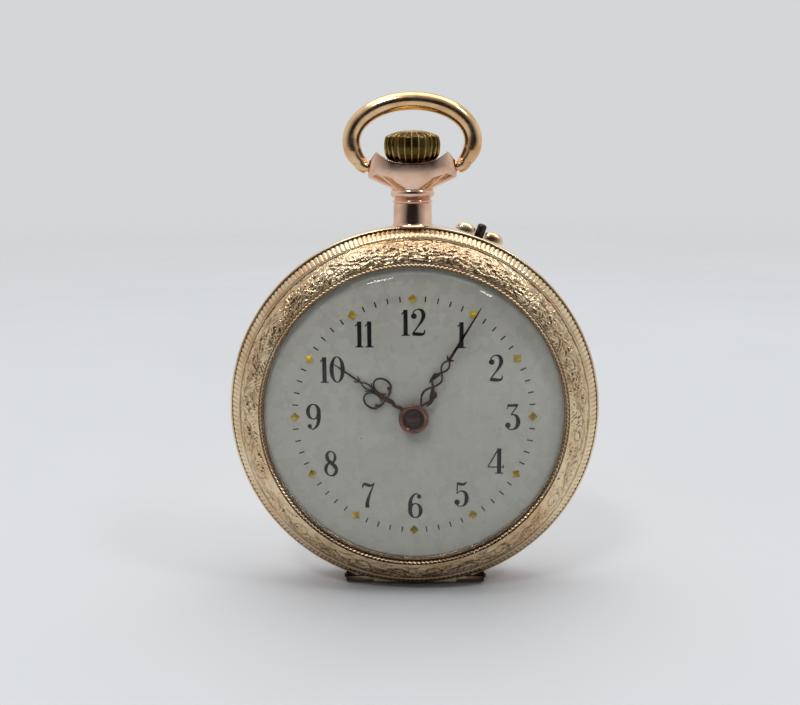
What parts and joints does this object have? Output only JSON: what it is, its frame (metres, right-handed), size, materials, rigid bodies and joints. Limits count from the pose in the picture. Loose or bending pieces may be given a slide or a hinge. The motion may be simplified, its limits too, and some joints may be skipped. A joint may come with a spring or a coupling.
{
  "type": "fob watch",
  "caption": "Round open-faced fob watch with an engraved gold bezel, white enamel dial, pendant, fluted crown and swivelling bow; its covers open on hinges and its train turns.",
  "frame": {"origin": "centre of the back cover's flat outer face, on the axis of the hands", "axes": "+Z towards 12 o'clock and the pendant, +Y out of the back, so the dial faces -Y; +X towards 3 o'clock"},
  "size_m": [0.032, 0.0092, 0.043],
  "materials": {
    "champagne_gold": "engraved and worn, satin",
    "rose_gold": "polished, worn",
    "yellow_gold": "polished, worn",
    "polished_gilt": "polished",
    "crown_brass": "tarnished, bright on the ridges",
    "glass": "clear",
    "enamel": "glossy white enamel",
    "hand_copper": "dark oxidised copper",
    "gilt_plate": "frosted gilt",
    "train_brass": "satin",
    "polished_steel": "polished",
    "blued_steel": "blued",
    "dark_steel": "dark, oiled",
    "ruby": "polished ruby"
  },
  "bodies": {
    "case": {"case_band": "rose_gold", "pendant": "rose_gold", "stem_sleeve": "polished_steel", "set_pin_guard": "rose_gold", "bezel_hinge_pin": "dark_steel", "cover_hinge_pin": "dark_steel", "mainplate": "gilt_plate", "barrel_bridge": "gilt_plate", "centre_bridge": "gilt_plate", "third_cock": "gilt_plate", "fourth_cock": "gilt_plate", "escape_cock": "gilt_plate", "balance_cock": "gilt_plate", "bridge_screws": "blued_steel", "case_screws": "blued_steel", "train_jewels": "ruby", "balance_cap_jewel": "ruby", "hairspring_stud": "polished_steel", "click_spring": "polished_steel", "crown_wheel_core": "polished_steel", "dial": "enamel", "hour_markers": "yellow_gold"},
    "bezel": {"bezel": "champagne_gold", "crystal": "glass"},
    "back_cover": {"back_cover": "rose_gold"},
    "dust_cover": {"dust_cover": "polished_gilt"},
    "bow": {"bow": "yellow_gold"},
    "crown": {"crown": "crown_brass", "winding_stem": "polished_steel"},
    "clutch": {"clutch_pinion": "polished_steel"},
    "winding_pinion": {"winding_pinion": "polished_steel"},
    "crown_wheel": {"crown_wheel": "polished_steel"},
    "ratchet": {"ratchet_wheel": "polished_steel", "barrel_arbor": "polished_steel", "ratchet_screw": "polished_steel"},
    "click": {"click": "polished_steel"},
    "barrel": {"barrel_drum": "train_brass", "barrel_lid": "train_brass", "mainspring": "blued_steel"},
    "centre": {"centre_wheel": "train_brass", "centre_pinion": "polished_steel"},
    "third": {"third_wheel": "train_brass", "third_pinion": "polished_steel"},
    "fourth": {"fourth_wheel": "train_brass", "fourth_pinion": "polished_steel"},
    "escape": {"escape_wheel": "polished_steel", "escape_pinion": "polished_steel"},
    "balance": {"balance_wheel": "train_brass", "balance_staff": "polished_steel", "hairspring": "blued_steel"},
    "regulator": {"regulator_index": "polished_steel"},
    "minute_hand": {"cannon_pinion": "polished_steel", "minute_hand": "hand_copper", "hand_boss": "hand_copper"},
    "hour_hand": {"hour_wheel": "train_brass", "hour_hand": "hand_copper"},
    "minute_wheel": {"minute_wheel": "train_brass"},
    "setting_wheel": {"setting_wheel": "polished_steel"},
    "set_pin": {"set_pin": "dark_steel"},
    "setting_yoke": {"setting_yoke": "polished_steel"}
  },
  "joints": [
    {"name": "bezel_hinge", "type": "hinge", "parent": "case", "child": "bezel", "pos_m": [0, -0.00475, -0.01535], "axis": [1, 0, 0], "range_deg": [0, 72]},
    {"name": "back_cover_hinge", "type": "hinge", "parent": "case", "child": "back_cover", "pos_m": [0, -0.0029, -0.01535], "axis": [-1, 0, 0], "range_deg": [0, 72]},
    {"name": "dust_cover_hinge", "type": "hinge", "parent": "case", "child": "dust_cover", "pos_m": [0, -0.0029, -0.01535], "axis": [-1, 0, 0], "range_deg": [0, 44.7]},
    {"name": "bow_swing", "type": "hinge", "parent": "case", "child": "bow", "pos_m": [0, -0.0039, 0.0208], "axis": [1, 0, 0], "range_deg": [-120, 120]},
    {"name": "crown_turn", "type": "hinge", "parent": "case", "child": "crown", "pos_m": [0, -0.0039, 0.022], "axis": [0, 0, 1], "continuous": true},
    {"name": "winding_pinion_turn", "type": "hinge", "parent": "case", "child": "winding_pinion", "pos_m": [0, -0.0039, 0.0117], "axis": [0, 0, 1], "continuous": true},
    {"name": "crown_wheel_turn", "type": "hinge", "parent": "case", "child": "crown_wheel", "pos_m": [0, -0.002, 0.00834], "axis": [0, -1, 0], "continuous": true},
    {"name": "ratchet_turn", "type": "hinge", "parent": "case", "child": "ratchet", "pos_m": [-0.00565, -0.002, 0.00326], "axis": [0, -1, 0], "continuous": true},
    {"name": "click_lift", "type": "hinge", "parent": "case", "child": "click", "pos_m": [-0.0094, -0.002, -0.0019], "axis": [0, -1, 0], "range_deg": [-6, 0], "stiffness_Nm_per_rad": 0.00002, "springref_deg": 2.86},
    {"name": "set_pin_push", "type": "slide", "parent": "case", "child": "set_pin", "axis": [-0.3502, 0, -0.9367], "range_m": [0, 0.0004], "stiffness_N_per_m": 400, "springref_m": -0.0005},
    {"name": "clutch_slide", "type": "slide", "parent": "crown", "child": "clutch", "axis": [0, 0, -1], "range_m": [0, 0.00045]},
    {"name": "yoke_turn", "type": "hinge", "parent": "case", "child": "setting_yoke", "pos_m": [0.0056, -0.0039, 0.0099], "axis": [0, -1, 0], "range_deg": [0, 5.75]},
    {"name": "fourth_turn", "type": "hinge", "parent": "case", "child": "fourth", "pos_m": [0.0046, -0.0039, -0.00296], "axis": [0, -1, 0], "continuous": true},
    {"name": "escape_turn", "type": "hinge", "parent": "case", "child": "escape", "pos_m": [0.0028, -0.0039, -0.00553], "axis": [0, -1, 0], "continuous": true},
    {"name": "third_turn", "type": "hinge", "parent": "case", "child": "third", "pos_m": [0.00412, -0.0039, 0.0004], "axis": [0, -1, 0], "continuous": true},
    {"name": "centre_turn", "type": "hinge", "parent": "case", "child": "centre", "pos_m": [0, -0.0039, 0], "axis": [0, -1, 0], "continuous": true},
    {"name": "barrel_turn", "type": "hinge", "parent": "case", "child": "barrel", "pos_m": [-0.00565, -0.0039, 0.00326], "axis": [0, -1, 0], "continuous": true},
    {"name": "balance_swing", "type": "hinge", "parent": "case", "child": "balance", "pos_m": [0.00081, -0.0039, -0.00646], "axis": [0, -1, 0], "range_deg": [-150, 150], "stiffness_Nm_per_rad": 0.0000002},
    {"name": "regulator_turn", "type": "hinge", "parent": "case", "child": "regulator", "pos_m": [0.00081, -0.0017, -0.00646], "axis": [0, -1, 0], "range_deg": [-25, 25]},
    {"name": "minute_hand_turn", "type": "hinge", "parent": "case", "child": "minute_hand", "pos_m": [0, -0.0075, 0], "axis": [0, -1, 0], "continuous": true},
    {"name": "minute_wheel_turn", "type": "hinge", "parent": "case", "child": "minute_wheel", "pos_m": [0, -0.0052, 0.002], "axis": [0, -1, 0], "continuous": true},
    {"name": "hour_hand_turn", "type": "hinge", "parent": "case", "child": "hour_hand", "pos_m": [0, -0.0073, 0], "axis": [0, -1, 0], "continuous": true},
    {"name": "setting_wheel_turn", "type": "hinge", "parent": "case", "child": "setting_wheel", "pos_m": [0, -0.0051, 0.0063], "axis": [0, -1, 0], "continuous": true}
  ],
  "couplings": [
    {"joint": "dust_cover_hinge", "follows": "back_cover_hinge", "ratio": 0.62},
    {"joint": "winding_pinion_turn", "follows": "crown_turn", "ratio": 1},
    {"joint": "crown_wheel_turn", "follows": "crown_turn", "ratio": 0.46875},
    {"joint": "ratchet_turn", "follows": "crown_turn", "ratio": -0.34091},
    {"joint": "clutch_slide", "follows": "set_pin_push", "ratio": 1.125},
    {"joint": "yoke_turn", "follows": "set_pin_push", "rad_per_m": 250},
    {"joint": "escape_turn", "follows": "fourth_turn", "ratio": -10},
    {"joint": "third_turn", "follows": "fourth_turn", "ratio": -0.13333},
    {"joint": "centre_turn", "follows": "fourth_turn", "ratio": 0.016667},
    {"joint": "barrel_turn", "follows": "fourth_turn", "ratio": -0.0020833},
    {"joint": "minute_wheel_turn", "follows": "minute_hand_turn", "ratio": -0.33333},
    {"joint": "hour_hand_turn", "follows": "minute_hand_turn", "ratio": 0.083333},
    {"joint": "setting_wheel_turn", "follows": "minute_hand_turn", "ratio": 0.17857}
  ]
}
